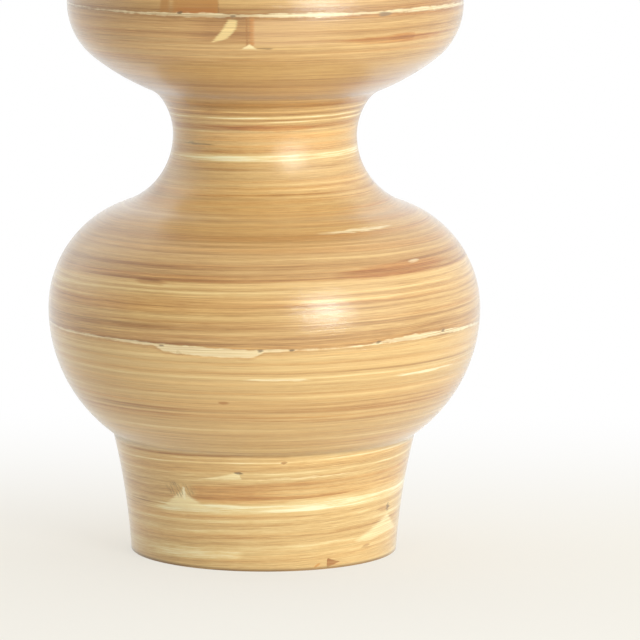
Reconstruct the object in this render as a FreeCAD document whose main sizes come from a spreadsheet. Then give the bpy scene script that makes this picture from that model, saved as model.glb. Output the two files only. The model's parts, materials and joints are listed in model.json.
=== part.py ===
import FreeCAD, Part
import math
import os
import Sketcher

# A double gourd vase of wound bamboo strip, standing on its foot, +Z up.
# The wall's section is one outline of arcs that run into each other, offset inward by the
# wall. It is cut where strips meet, at level edges where the wall is steep and at upright
# edges where it is shallow, and each piece is turned about Z, so each ring seats on the next.
# The lower bowl, the middle and the top are wound by themselves and glued at two filled
# joints. A flat coil closes the foot, and a rounded rim finishes the mouth.

SIZES = {
    # foot and lower bulb
    "foot_radius": 69.0,
    "foot_flare_arc": 355.0,
    "foot_height": 61.5,
    "crease_radius": 78.4,
    "lower_bowl_rise": 64.6,
    "lower_belly_radius": 111.7,
    "lower_shoulder_arc": 57.0,
    "lower_shoulder_rise": 89.8,
    # waist
    "waist_radius": 47.4,
    "waist_upper_arc": 32.0,
    "waist_upper_rise": 22.5,
    # upper bulb
    "bowl_turn_arc": 14.0,
    "upper_bowl_rise": 45.7,
    "upper_belly_radius": 101.8,
    "upper_shoulder_arc": 46.0,
    "upper_shoulder_rise": 74.0,
    # neck and rim
    "neck_radius": 36.0,
    "neck_upper_arc": 24.0,
    "neck_upper_rise": 7.0,
    "bore_depth": 1.2,
    "rim_width": 8.0,
    "rim_thickness": 7.0,
    "rim_setback": 1.2,
    # wall and its two filled joints, placed from the widest level of each bulb
    "wall": 6.5,
    "joint_thickness": 2.0,
    "lower_joint_drop": 6.0,
    "upper_joint_lift": 0.5,
    # base that sits in the foot
    "base_lap": 1.5,
    "base_thickness": 9.0,
    "base_recess": 2.0,
    "base_eye_radius": 12.0,
    # how far a cutting shape runs past what it cuts
    "overrun": 6.0,
}

# How many rings of strip the foot and the flat base have.
FOOT_STRIPS = 4
BASE_COILS = 3

# Where strips meet, as shares of the rise or of the radius that each run of them spans.
lower_bowl_shares = (0.16, 0.35, 0.56, 0.78)
lower_shoulder_shares = (0.35, 0.68)
waist_shares = (0.33, 0.67)
bowl_nest_shares = (0.33, 0.67)
upper_bowl_shares = (0.46,)
upper_shoulder_shares = (0.54,)
neck_shares = (0.40,)

# Where the wall lies flatter the edges are upright: the radii where they begin, divide and
# end, as shares of the way in from the belly to the waist or the neck.
lower_nest_shares = (0.24, 0.48, 0.66, 0.83)
upper_nest_shares = (0.20, 0.45, 0.67, 0.87)

# Share of the waist's upper rise at which its last strip ends and the bowl begins.
waist_end_share = 0.62
# Where the bowl's long flank rounds into the belly, across and up from the waist's top.
flank_end_shares = (0.70, 0.39)


class Length:
    """A length worked out from the sheet: its value, and the expression that keeps it so."""

    def __init__(self, value, text):
        self.value = value
        self.text = text

    def joined(self, sign, other, value):
        return Length(value, f"({self.text} {sign} {other.text})")

    def __add__(self, other):
        return self.joined("+", other, self.value + other.value)

    def __sub__(self, other):
        return self.joined("-", other, self.value - other.value)

    def __mul__(self, share):
        return Length(self.value * share, f"({self.text} * {share})")

    def squared(self):
        return Length(self.value**2, f"({self.text} ^ 2)")

    def root(self):
        return Length(math.sqrt(self.value), f"sqrt({self.text})")

    def over(self, other):
        return self.joined("/", other, self.value / other.value)


def size(name):
    """The driving dimension of this name."""
    return Length(SIZES[name], "Sizes." + name)


FLOOR = Length(0, "0")
CREASE = size("foot_height")
LOWER_BELLY = CREASE + size("lower_bowl_rise")
WAIST = LOWER_BELLY + size("lower_shoulder_rise")
WAIST_TOP = WAIST + size("waist_upper_rise")
UPPER_BELLY = WAIST_TOP + size("upper_bowl_rise")
NECK = UPPER_BELLY + size("upper_shoulder_rise")
RIM_SEAT = NECK + size("neck_upper_rise")
BORE_RADIUS = size("neck_radius") - size("wall") + size("bore_depth")
BASE_RADIUS = size("foot_radius") - size("wall") + size("base_lap")


def make_sheet(doc):
    """Writes every driving dimension into the sheet, under its own name."""
    sheet = doc.addObject("Spreadsheet::Sheet", "Sizes")
    for row, (name, value) in enumerate(SIZES.items(), start=1):
        sheet.set(f"A{row}", name)
        sheet.set(f"B{row}", str(value))
        sheet.setAlias(f"B{row}", name)
    doc.recompute()


def bind(sketch, kind, elements, length):
    """Adds a constraint of this kind and ties its value to the sheet."""
    number = sketch.addConstraint(Sketcher.Constraint(kind, *elements, length.value))
    name = f"{kind}{number}"
    sketch.renameConstraint(number, name)
    sketch.setExpression(f"Constraints.{name}", length.text)


def origin_plane(body, role):
    """The body's own origin plane of this role."""
    return next(plane for plane in body.Origin.OriginFeatures if plane.Role == role)


def towards(start, end, distance):
    """The point this distance from start on the line to end."""
    length = math.dist(start, end)
    return tuple(a + (b - a) * distance / length for a, b in zip(start, end))


def circles_meet(centre_a, radius_a, centre_b, radius_b, near):
    """The point where these circles meet, out of two the nearer to this one."""
    gap = math.dist(centre_a, centre_b)
    along = (radius_a**2 - radius_b**2 + gap**2) / (2 * gap)
    aside = math.sqrt(radius_a**2 - along**2)
    middle = towards(centre_a, centre_b, along)
    across = ((centre_b[1] - centre_a[1]) / gap, (centre_a[0] - centre_b[0]) / gap)
    meetings = [
        tuple(m + side * aside * a for m, a in zip(middle, across)) for side in (1, -1)
    ]
    return min(meetings, key=lambda point: math.dist(point, near))


def upright():
    """The turn that stands a flat shape up in the plane of X and Z."""
    return FreeCAD.Rotation(FreeCAD.Vector(1, 0, 0), 90)


class Outline:
    """The wall's outer line, drawn upward from the foot as one sketch bound to the sheet."""

    def __init__(self, doc):
        self.sketch = doc.addObject("Sketcher::SketchObject", "outer_line")
        self.sketch.Placement = FreeCAD.Placement(FreeCAD.Vector(), upright())
        self.last = None

    def arc(self, centre, start, end, join=None):
        """Adds the arc from start up to end, joined to the piece below in this way."""
        first = math.atan2(start[1] - centre[1], start[0] - centre[0])
        second = math.atan2(end[1] - centre[1], end[0] - centre[0])
        anticlockwise = (second - first) % (2 * math.pi) < math.pi
        angles = (first, second) if anticlockwise else (second, first)
        circle = Part.Circle(
            FreeCAD.Vector(*centre, 0), FreeCAD.Vector(0, 0, 1), math.dist(centre, start)
        )
        number = self.sketch.addGeometry(Part.ArcOfCircle(circle, *angles))
        lower, upper = (1, 2) if anticlockwise else (2, 1)
        if join:
            self.sketch.addConstraint(Sketcher.Constraint(join, *self.last, number, lower))
        self.last = (number, upper)
        return number

    def set_radius(self, arc, length):
        bind(self.sketch, "Radius", (arc,), length)

    def set_centre_height(self, arc, height):
        bind(self.sketch, "DistanceY", (-1, 1, arc, 3), height)

    def end_at_height(self, height):
        bind(self.sketch, "DistanceY", (-1, 1, *self.last), height)

    def end_at(self, radius, height):
        bind(self.sketch, "DistanceX", (-1, 1, *self.last), radius)
        self.end_at_height(height)

    def passes(self, arc, radius, height):
        """Holds an arc, or the circle that it is part of, to this point."""
        place = FreeCAD.Vector(radius.value, height.value, 0)
        point = self.sketch.addGeometry(Part.Point(place), True)
        bind(self.sketch, "DistanceX", (-1, 1, point, 1), radius)
        bind(self.sketch, "DistanceY", (-1, 1, point, 1), height)
        self.sketch.addConstraint(Sketcher.Constraint("PointOnObject", point, 1, arc))


def draw_foot(outline):
    """The foot flares a little all the way up, to a crease below the bowl."""
    arc_radius, start_height = size("foot_flare_arc"), FLOOR - size("overrun")
    stand, crease = (SIZES["foot_radius"], 0), (SIZES["crease_radius"], CREASE.value)
    half = math.dist(stand, crease) / 2
    middle = towards(stand, crease, half)
    away = math.sqrt(arc_radius.value**2 - half**2)
    lean = math.atan2(crease[1] - stand[1], crease[0] - stand[0])
    centre = (middle[0] + away * math.sin(lean), middle[1] - away * math.cos(lean))
    fall = start_height.value - centre[1]
    start = (centre[0] - math.sqrt(arc_radius.value**2 - fall**2), start_height.value)
    foot = outline.arc(centre, start, crease)
    outline.set_radius(foot, arc_radius)
    outline.end_at(size("crease_radius"), CREASE)
    bind(outline.sketch, "DistanceY", (-1, 1, foot, 2), start_height)
    outline.passes(foot, size("foot_radius"), FLOOR)


def draw_lower_bowl(outline):
    """From the crease out to the widest level, where the wall stands upright."""
    crease = (SIZES["crease_radius"], CREASE.value)
    belly = (SIZES["lower_belly_radius"], LOWER_BELLY.value)
    run, rise = belly[0] - crease[0], belly[1] - crease[1]
    arc_radius = (run**2 + rise**2) / (2 * run)
    flank = outline.arc((belly[0] - arc_radius, belly[1]), crease, belly, "Coincident")
    outline.end_at(size("lower_belly_radius"), LOWER_BELLY)
    outline.set_centre_height(flank, LOWER_BELLY)


def hollow_arc(belly_radius, rise, shoulder_arc, waist_radius):
    """Radius of the hollow arc that runs from a shoulder's arc to the upright waist."""
    step = waist_radius - belly_radius + shoulder_arc
    over = step.squared() + rise.squared() - shoulder_arc.squared()
    return over.over((belly_radius - waist_radius) * 2)


def draw_shoulder(outline, belly_radius, belly, shoulder_arc, waist_radius, waist):
    """A round shoulder over the belly, and the hollow arc that it runs into."""
    hollow_radius = hollow_arc(belly_radius, waist - belly, shoulder_arc, waist_radius)
    shoulder_centre = (belly_radius.value - shoulder_arc.value, belly.value)
    hollow_centre = (waist_radius.value + hollow_radius.value, waist.value)
    meeting = towards(shoulder_centre, hollow_centre, shoulder_arc.value)
    start = (belly_radius.value, belly.value)
    shoulder = outline.arc(shoulder_centre, start, meeting, "Coincident")
    outline.set_centre_height(shoulder, belly)
    outline.set_radius(shoulder, shoulder_arc)
    end = (waist_radius.value, waist.value)
    hollow = outline.arc(hollow_centre, meeting, end, "Tangent")
    outline.set_centre_height(hollow, waist)
    outline.end_at(waist_radius, waist)


def flare_end(waist_radius, arc_radius, rise):
    """Radius to which a hollow arc opens over this rise from the upright waist or neck."""
    reach = (arc_radius.squared() - rise.squared()).root()
    return waist_radius + arc_radius - reach


def draw_flare(outline, waist_radius, waist, arc_radius, end):
    """A hollow arc that opens from the upright waist or neck, up to this end."""
    centre = (waist_radius.value + arc_radius.value, waist.value)
    start = (waist_radius.value, waist.value)
    flare = outline.arc(centre, start, end, "Coincident")
    outline.set_centre_height(flare, waist)
    outline.set_radius(flare, arc_radius)


def flank_end():
    """The waist's top edge, and the point where the bowl's flank rounds into the belly."""
    waist_arc, rise = size("waist_upper_arc"), size("waist_upper_rise")
    radius, height = flare_end(size("waist_radius"), waist_arc, rise), WAIST_TOP
    across, up = flank_end_shares
    end_radius = radius + (size("upper_belly_radius") - radius) * across
    end_height = height + (UPPER_BELLY - height) * up
    return (radius, height), (end_radius, end_height)


def draw_waist_and_bowl(outline):
    """The waist opens, turns tightly into the bowl's flank, and rounds into the belly."""
    edge, end = flank_end()
    corner, meeting = [tuple(length.value for length in point) for point in (edge, end)]
    belly = (SIZES["upper_belly_radius"], UPPER_BELLY.value)
    run, rise = belly[0] - meeting[0], belly[1] - meeting[1]
    belly_radius = (run**2 + rise**2) / (2 * run)
    belly_centre = (belly[0] - belly_radius, belly[1])
    chord = [c - m for c, m in zip(corner, meeting)]
    inward = [(b - m) / belly_radius for b, m in zip(belly_centre, meeting)]
    lean = chord[0] * inward[0] + chord[1] * inward[1]
    flank_radius = (chord[0] ** 2 + chord[1] ** 2) / (2 * lean)
    flank_centre = tuple(m + flank_radius * i for m, i in zip(meeting, inward))

    waist_arc, turn_arc = size("waist_upper_arc"), size("bowl_turn_arc")
    flare_centre = (SIZES["waist_radius"] + waist_arc.value, WAIST.value)
    turn_centre = circles_meet(
        flare_centre,
        waist_arc.value - turn_arc.value,
        flank_centre,
        abs(flank_radius + turn_arc.value),
        corner,
    )
    turn_start = towards(flare_centre, turn_centre, waist_arc.value)
    turn_reach = math.copysign(turn_arc.value, flank_radius)
    turn_end = towards(turn_centre, flank_centre, turn_reach)
    draw_flare(outline, size("waist_radius"), WAIST, waist_arc, turn_start)
    turn = outline.arc(turn_centre, turn_start, turn_end, "Tangent")
    outline.set_radius(turn, turn_arc)
    flank = outline.arc(flank_centre, turn_end, meeting, "Tangent")
    outline.passes(flank, *edge)
    outline.end_at(*end)
    rounding = outline.arc(belly_centre, meeting, belly, "Tangent")
    outline.set_centre_height(rounding, UPPER_BELLY)
    outline.end_at(size("upper_belly_radius"), UPPER_BELLY)


def draw_outline(doc):
    """The whole outer line, from just under the floor to just over the rim's seat."""
    outline = Outline(doc)
    draw_foot(outline)
    draw_lower_bowl(outline)
    draw_shoulder(
        outline,
        size("lower_belly_radius"),
        LOWER_BELLY,
        size("lower_shoulder_arc"),
        size("waist_radius"),
        WAIST,
    )
    draw_waist_and_bowl(outline)
    draw_shoulder(
        outline,
        size("upper_belly_radius"),
        UPPER_BELLY,
        size("upper_shoulder_arc"),
        size("neck_radius"),
        NECK,
    )
    neck_arc, rise = size("neck_upper_arc"), size("neck_upper_rise") + size("overrun")
    end = flare_end(size("neck_radius"), neck_arc, rise)
    end_height = NECK + rise
    line_end = (end.value, end_height.value)
    draw_flare(outline, size("neck_radius"), NECK, neck_arc, line_end)
    outline.end_at_height(end_height)
    return outline.sketch


def rectangle(doc, name, inner, outer, bottom, top):
    """An upright rectangle beside Z, between two radii and two heights."""
    face = doc.addObject("Part::Plane", name)
    face.Placement = FreeCAD.Placement(FreeCAD.Vector(), upright())
    face.setExpression("Length", (outer - inner).text)
    face.setExpression("Width", (top - bottom).text)
    face.setExpression("Placement.Base.x", inner.text)
    face.setExpression("Placement.Base.z", bottom.text)
    return face


def combine(doc, kind, name, base, tool):
    """Cuts the tool out of the base, or keeps what they share."""
    result = doc.addObject(f"Part::{kind}", name)
    result.Base = base
    result.Tool = tool
    return result


def wall_section(doc, outline):
    """Offsets the outer line inward by the wall, and cuts the base's seat and the bore."""
    strip = doc.addObject("Part::Offset2D", "wall_strip")
    strip.Source = outline
    strip.Mode = "Skin"
    strip.Join = "Arc"
    strip.Fill = True
    strip.setExpression("Value", (FLOOR - size("wall")).text)
    seat_top = size("base_recess") + size("base_thickness")
    below = FLOOR - size("overrun") * 2
    seat = rectangle(doc, "base_seat", FLOOR, BASE_RADIUS, below, seat_top)
    above = RIM_SEAT + size("overrun") * 2
    bore = rectangle(doc, "mouth_bore", FLOOR, BORE_RADIUS, UPPER_BELLY, above)
    seated = combine(doc, "Cut", "seated_strip", strip, seat)
    return combine(doc, "Cut", "wall_section", seated, bore)


class Winding:
    """Turns the wall's section into rings of strip, from the foot up, in their order."""

    def __init__(self, doc, section):
        self.doc = doc
        self.section = section
        self.rings = []
        self.counts = {}

    def ring(self, name, bottom, top, inner=None, outer=None):
        """The wall between two heights and, where given, two radii, turned about Z."""
        reach = outer or size("lower_belly_radius") + size("upper_belly_radius")
        window = rectangle(self.doc, name + "_window", inner or FLOOR, reach, bottom, top)
        piece = combine(self.doc, "Common", name + "_section", self.section, window)
        ring = self.doc.addObject("Part::Revolution", name)
        ring.Source = piece
        ring.Axis = (0, 0, 1)
        ring.Angle = 360
        ring.Solid = True
        ring.Label = name
        self.rings.append(ring)

    def strip(self, run, *place):
        """The next ring of this run of strips."""
        self.counts[run] = self.counts.get(run, 0) + 1
        self.ring(f"{run}_strip_{self.counts[run]}", *place)

    def stack(self, run, low, high, shares):
        """Rings on top of each other, with level edges at these shares of the rise."""
        edges = [low + (high - low) * share for share in (0, *shares, 1)]
        for bottom, top in zip(edges, edges[1:]):
            self.strip(run, bottom, top)

    def nest(self, run, bottom, top, radii):
        """Rings inside each other, with upright edges at these radii."""
        edges = [None, *radii, None]
        inward = radii[-1].value < radii[0].value
        for start, end in zip(edges, edges[1:]):
            inner, outer = (end, start) if inward else (start, end)
            self.strip(run, bottom, top, inner, outer)

    def joint(self, name, middle):
        """The filled joint at this height. Its lower and upper face are returned."""
        half = size("joint_thickness") * 0.5
        bottom, top = middle - half, middle + half
        self.ring(name, bottom, top)
        return bottom, top


def wind_shoulder(winding, run, low, sizes, belly, waist, stack_shares, nest_shares):
    """Level edges on the steep part over the belly, upright ones where it lies flatter."""
    belly_radius, shoulder_arc, waist_radius = (size(name) for name in sizes)
    hollow_radius = hollow_arc(belly_radius, waist - belly, shoulder_arc, waist_radius)
    way_in = belly_radius - waist_radius
    first, *radii, last = (belly_radius - way_in * share for share in nest_shares)
    shoulder_reach = first - belly_radius + shoulder_arc
    hollow_reach = waist_radius + hollow_radius - last
    bottom = belly + (shoulder_arc.squared() - shoulder_reach.squared()).root()
    top = waist - (hollow_radius.squared() - hollow_reach.squared()).root()
    winding.stack(run, low, bottom, stack_shares)
    winding.nest(run, bottom, top, radii)
    return top


def wind_lower_bowl(winding, top):
    """The foot's rings, and those of the bowl up to the lower joint."""
    foot_shares = [number / FOOT_STRIPS for number in range(1, FOOT_STRIPS)]
    winding.stack("foot", FLOOR, CREASE, foot_shares)
    winding.stack("lower_bowl", CREASE, top, lower_bowl_shares)


def wind_middle(winding, bottom, top):
    """The lower shoulder, the waist and the upper bowl, between the two joints."""
    waist_start = wind_shoulder(
        winding,
        "lower_shoulder",
        bottom,
        ("lower_belly_radius", "lower_shoulder_arc", "waist_radius"),
        LOWER_BELLY,
        WAIST,
        lower_shoulder_shares,
        lower_nest_shares,
    )
    waist_end = WAIST + (WAIST_TOP - WAIST) * waist_end_share
    winding.stack("waist", waist_start, waist_end, waist_shares)
    last, nest_top = flank_end()[1]
    first = size("waist_radius")
    radii = [first + (last - first) * share for share in bowl_nest_shares]
    winding.nest("upper_bowl", waist_end, nest_top, radii)
    winding.stack("upper_bowl", nest_top, top, upper_bowl_shares)


def wind_top(winding, bottom):
    """The upper shoulder and the neck, above the upper joint."""
    neck_start = wind_shoulder(
        winding,
        "upper_shoulder",
        bottom,
        ("upper_belly_radius", "upper_shoulder_arc", "neck_radius"),
        UPPER_BELLY,
        NECK,
        upper_shoulder_shares,
        upper_nest_shares,
    )
    winding.stack("neck", neck_start, RIM_SEAT, neck_shares)


def make_disc(doc, name, radii):
    """A flat disc, or a ring where there are two radii, at the height of the base."""
    body = doc.addObject("PartDesign::Body", name)
    sketch = body.newObject("Sketcher::SketchObject", name + "_outline")
    sketch.AttachmentSupport = (origin_plane(body, "XY_Plane"), [""])
    sketch.MapMode = "FlatFace"
    sketch.setExpression("AttachmentOffset.Base.z", size("base_recess").text)
    for radius in radii:
        circle = Part.Circle(FreeCAD.Vector(), FreeCAD.Vector(0, 0, 1), radius.value)
        number = sketch.addGeometry(circle)
        sketch.addConstraint(Sketcher.Constraint("Coincident", number, 3, -1, 1))
        bind(sketch, "Radius", (number,), radius)
    pad = body.newObject("PartDesign::Pad", name + "_pad")
    pad.Profile = sketch
    pad.setExpression("Length", size("base_thickness").text)
    body.Label = name
    return body


def make_base(doc):
    """The eye of the flat coil, and the rings wound round it out to the foot."""
    eye = size("base_eye_radius")
    spread = BASE_RADIUS - eye
    edges = [eye + spread * (number / BASE_COILS) for number in range(BASE_COILS)]
    edges.append(BASE_RADIUS)
    pieces = [make_disc(doc, "base_eye", [eye])]
    for number, radii in enumerate(zip(edges, edges[1:]), start=1):
        pieces.append(make_disc(doc, f"base_coil_{number}", radii))
    return pieces


def make_rim(doc):
    """The mouth's rim: flat where it seats on the neck, half round on top."""
    body = doc.addObject("PartDesign::Body", "mouth_rim")
    sketch = body.newObject("Sketcher::SketchObject", "rim_section")
    sketch.AttachmentSupport = (origin_plane(body, "XZ_Plane"), [""])
    sketch.MapMode = "FlatFace"
    inner = BORE_RADIUS + size("rim_setback")
    outer = inner + size("rim_width")
    side = size("rim_thickness") - size("rim_width") * 0.5
    crown = RIM_SEAT + side
    corners = [(inner, crown), (inner, RIM_SEAT), (outer, RIM_SEAT), (outer, crown)]
    points = [FreeCAD.Vector(radius.value, height.value, 0) for radius, height in corners]
    for start, end in zip(points, points[1:]):
        sketch.addGeometry(Part.LineSegment(start, end))
    middle = (points[0] + points[-1]) * 0.5
    top_circle = Part.Circle(middle, FreeCAD.Vector(0, 0, 1), SIZES["rim_width"] / 2)
    sketch.addGeometry(Part.ArcOfCircle(top_circle, 0, math.pi))
    inside, seat, outside, top = range(4)
    for constraint in (
        ("Coincident", inside, 2, seat, 1),
        ("Coincident", seat, 2, outside, 1),
        ("Tangent", outside, 2, top, 1),
        ("Tangent", top, 2, inside, 1),
        ("Horizontal", seat),
        ("Vertical", inside),
        ("Vertical", outside),
    ):
        sketch.addConstraint(Sketcher.Constraint(*constraint))
    bind(sketch, "DistanceX", (-1, 1, seat, 1), inner)
    bind(sketch, "DistanceX", (seat, 1, seat, 2), size("rim_width"))
    bind(sketch, "DistanceY", (-1, 1, seat, 1), RIM_SEAT)
    bind(sketch, "DistanceY", (seat, 1, top, 3), side)
    turned = body.newObject("PartDesign::Revolution", "rim_turned")
    turned.Profile = sketch
    turned.ReferenceAxis = (sketch, ["V_Axis"])
    turned.Angle = 360
    body.Label = "mouth_rim"
    return body


def check(doc, pieces):
    """Stops the build if an object failed, or if a piece isn't one sound solid."""
    for thing in doc.Objects:
        if {"Invalid", "Error"} & set(thing.State):
            raise RuntimeError(f"{thing.Name} failed: {thing.State}")
    for piece in pieces:
        shape = piece.Shape
        if shape.isNull() or not shape.isValid() or len(shape.Solids) != 1:
            raise RuntimeError(f"{piece.Label} is not one sound solid")


def main():
    doc = FreeCAD.newDocument("vase")
    make_sheet(doc)
    outline = draw_outline(doc)
    winding = Winding(doc, wall_section(doc, outline))
    lower_joint = LOWER_BELLY - size("lower_joint_drop")
    upper_joint = UPPER_BELLY + size("upper_joint_lift")
    lower_faces = winding.joint("lower_joint", lower_joint)
    upper_faces = winding.joint("upper_joint", upper_joint)
    wind_lower_bowl(winding, lower_faces[0])
    wind_middle(winding, lower_faces[1], upper_faces[0])
    wind_top(winding, upper_faces[1])
    pieces = [*make_base(doc), *winding.rings, make_rim(doc)]
    doc.recompute()
    check(doc, pieces)
    os.makedirs("parts", exist_ok=True)
    for piece in pieces:
        piece.Shape.exportStep(f"parts/{piece.Label}.step")
        print(f"{piece.Label}: {piece.Shape.Volume:.0f} cubic millimetres")


main()
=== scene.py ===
import json
import math

import bpy
from mathutils import Matrix, Vector


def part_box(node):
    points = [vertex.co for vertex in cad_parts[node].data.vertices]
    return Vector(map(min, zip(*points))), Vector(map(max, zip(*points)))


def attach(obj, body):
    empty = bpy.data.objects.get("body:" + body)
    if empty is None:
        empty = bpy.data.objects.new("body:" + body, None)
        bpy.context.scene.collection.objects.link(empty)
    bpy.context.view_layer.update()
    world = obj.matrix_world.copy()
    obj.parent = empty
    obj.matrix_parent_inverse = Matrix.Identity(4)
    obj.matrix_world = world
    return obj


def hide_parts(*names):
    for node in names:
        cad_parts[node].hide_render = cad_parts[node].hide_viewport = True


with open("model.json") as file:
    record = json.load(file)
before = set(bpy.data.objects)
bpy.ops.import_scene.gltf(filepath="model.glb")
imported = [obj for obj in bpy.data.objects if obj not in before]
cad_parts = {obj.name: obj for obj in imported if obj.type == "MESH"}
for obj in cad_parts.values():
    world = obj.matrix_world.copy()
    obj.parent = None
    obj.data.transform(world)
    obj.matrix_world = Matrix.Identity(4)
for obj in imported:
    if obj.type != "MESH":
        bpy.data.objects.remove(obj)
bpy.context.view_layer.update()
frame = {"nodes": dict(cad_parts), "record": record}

# A double gourd vase of wound bamboo strip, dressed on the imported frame.
#
# Each ring of the wall is a turned mesh that follows the wall's outer line. The bamboo is
# painted along the strips. They climb by one width in a turn, so every place on the wall has
# a lap, which is the number of strip widths below it, and a length along the strip.

MM = 0.001

# The wall, as the CAD draws it, in metres.
WALL = 6.5 * MM
FOOT_ARC = 355 * MM
SHOULDER_ARC = 57 * MM
WAIST_ARC = 32 * MM
TURN_ARC = 14 * MM
UPPER_SHOULDER_ARC = 46 * MM
NECK_ARC = 24 * MM
STAND = (69 * MM, 0)
CREASE = (78.4 * MM, 61.5 * MM)
LOWER_BELLY = (111.7 * MM, 126.1 * MM)
WAIST = (47.4 * MM, 215.9 * MM)
WAIST_RISE = 22.5 * MM
UPPER_BELLY = (101.8 * MM, 284.1 * MM)
NECK = (36 * MM, 358.1 * MM)
# Where the upper bowl's flank ends, as shares of the way from the flare to the belly.
FLANK_END_SHARES = (0.70, 0.39)
RIM_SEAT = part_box("mouth_rim")[0].z
BASE_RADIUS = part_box("base_coil_3")[1].x
BASE_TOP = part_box("base_coil_3")[1].z
BORE_RADIUS = next(
    mount["dims"]["r_mm"] for mount in frame["record"]["mounts"] if mount["name"] == "mouth"
) * MM

# The rings of the wall, from the floor up.
RINGS = [
    *(f"foot_strip_{n}" for n in range(1, 5)),
    *(f"lower_bowl_strip_{n}" for n in range(1, 6)),
    "lower_joint",
    *(f"lower_shoulder_strip_{n}" for n in range(1, 7)),
    *(f"waist_strip_{n}" for n in range(1, 4)),
    *(f"upper_bowl_strip_{n}" for n in range(1, 6)),
    "upper_joint",
    *(f"upper_shoulder_strip_{n}" for n in range(1, 6)),
    *(f"neck_strip_{n}" for n in range(1, 3)),
]
# How fine the meshes are: segments round the axis, the step between places on the outer
# line, the step between rows of faces outside, and how many rows there are inside and at
# least outside. The ring with the chip is finer by a factor. The rim's arch has its steps.
SEGMENTS = 192
LINE_STEP = 0.1 * MM
ROW_STEP = 2.6 * MM
INNER_ROWS = 3
CHIPPED_FACTOR = 3
ARCH_STEPS = 16
# How far the rim's inner side lies outside the mouth's bore.
RIM_INSET = 1.2 * MM
# Rings whose boxes come this close in height meet on a level edge.
LEVEL_GAP = 0.05 * MM

# Heights on the wall, and how wide the strip is there.
STRIP_WIDTHS = [
    (0 * MM, 17 * MM),
    (55 * MM, 18 * MM),
    (75 * MM, 8 * MM),
    (112 * MM, 6 * MM),
    (124 * MM, 16 * MM),
    (150 * MM, 12 * MM),
    (165 * MM, 7 * MM),
    (180 * MM, 11 * MM),
    (198 * MM, 7 * MM),
    (235 * MM, 7 * MM),
    (262 * MM, 11 * MM),
    (284 * MM, 8 * MM),
    (330 * MM, 13 * MM),
    (372 * MM, 9 * MM),
]


def towards(start, end, distance):
    """The point this distance from start on the line to end."""
    length = math.dist(start, end)
    return tuple(a + (b - a) * distance / length for a, b in zip(start, end))


class Arc:
    """One arc of the outer line up to a height; a hollow one bends away from the axis."""

    def __init__(self, centre, radius, top, hollow=False):
        self.centre = centre
        self.radius = radius
        self.top = top
        self.side = -1 if hollow else 1

    def at(self, height):
        reach = math.sqrt(max(self.radius**2 - (height - self.centre[1]) ** 2, 0))
        return self.centre[0] + self.side * reach


def foot_arc():
    """The hollow arc from the floor to the crease."""
    half = math.dist(STAND, CREASE) / 2
    middle = towards(STAND, CREASE, half)
    away = math.sqrt(FOOT_ARC**2 - half**2)
    lean = math.atan2(CREASE[1] - STAND[1], CREASE[0] - STAND[0])
    centre = (middle[0] + away * math.sin(lean), middle[1] - away * math.cos(lean))
    return Arc(centre, FOOT_ARC, CREASE[1], hollow=True)


def rounding_arc(start, belly):
    """The arc from start that stands upright at the belly."""
    run, rise = belly[0] - start[0], belly[1] - start[1]
    radius = (run**2 + rise**2) / (2 * run)
    return Arc((belly[0] - radius, belly[1]), radius, belly[1])


def shoulder_arcs(belly, radius, waist):
    """The round shoulder over a belly, and the hollow arc from it to the upright waist."""
    step, rise = waist[0] - belly[0] + radius, waist[1] - belly[1]
    hollow = (step**2 + rise**2 - radius**2) / (2 * (belly[0] - waist[0]))
    centre, hollow_centre = (belly[0] - radius, belly[1]), (waist[0] + hollow, waist[1])
    meeting = towards(centre, hollow_centre, radius)
    return [Arc(centre, radius, meeting[1]), Arc(hollow_centre, hollow, waist[1], True)]


def circles_meet(centre_a, radius_a, centre_b, radius_b, near):
    """The point where these circles meet, out of two the nearer to this one."""
    gap = math.dist(centre_a, centre_b)
    along = (radius_a**2 - radius_b**2 + gap**2) / (2 * gap)
    aside = math.sqrt(radius_a**2 - along**2)
    middle = towards(centre_a, centre_b, along)
    across = ((centre_b[1] - centre_a[1]) / gap, (centre_a[0] - centre_b[0]) / gap)
    meetings = [tuple(m + s * aside * a for m, a in zip(middle, across)) for s in (1, -1)]
    return min(meetings, key=lambda point: math.dist(point, near))


def bowl_arcs():
    """The waist opens, turns tightly into the upper bowl's flank, and rounds to the belly."""
    flare = Arc((WAIST[0] + WAIST_ARC, WAIST[1]), WAIST_ARC, WAIST[1] + WAIST_RISE, True)
    corner = (flare.at(flare.top), flare.top)
    meeting = tuple(c + (b - c) * s for c, b, s in zip(corner, UPPER_BELLY, FLANK_END_SHARES))
    rounding = rounding_arc(meeting, UPPER_BELLY)
    chord = Vector(corner) - Vector(meeting)
    inward = (Vector(rounding.centre) - Vector(meeting)).normalized()
    flank_radius = chord.length_squared / (2 * chord.dot(inward))
    flank_centre = tuple(Vector(meeting) + inward * flank_radius)
    turn_centre = circles_meet(
        flare.centre, WAIST_ARC - TURN_ARC, flank_centre, flank_radius + TURN_ARC, corner
    )
    flare.top = towards(flare.centre, turn_centre, WAIST_ARC)[1]
    turn = Arc(turn_centre, TURN_ARC, towards(turn_centre, flank_centre, TURN_ARC)[1], True)
    return [flare, turn, Arc(flank_centre, flank_radius, meeting[1]), rounding]


ARCS = [
    foot_arc(),
    rounding_arc(CREASE, LOWER_BELLY),
    *shoulder_arcs(LOWER_BELLY, SHOULDER_ARC, WAIST),
    *bowl_arcs(),
    *shoulder_arcs(UPPER_BELLY, UPPER_SHOULDER_ARC, NECK),
    Arc((NECK[0] + NECK_ARC, NECK[1]), NECK_ARC, RIM_SEAT, True),
]


def outer_radius(height):
    """Radius of the outer line at this height."""
    arc = next((arc for arc in ARCS if height <= arc.top), ARCS[-1])
    return arc.at(height)


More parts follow.
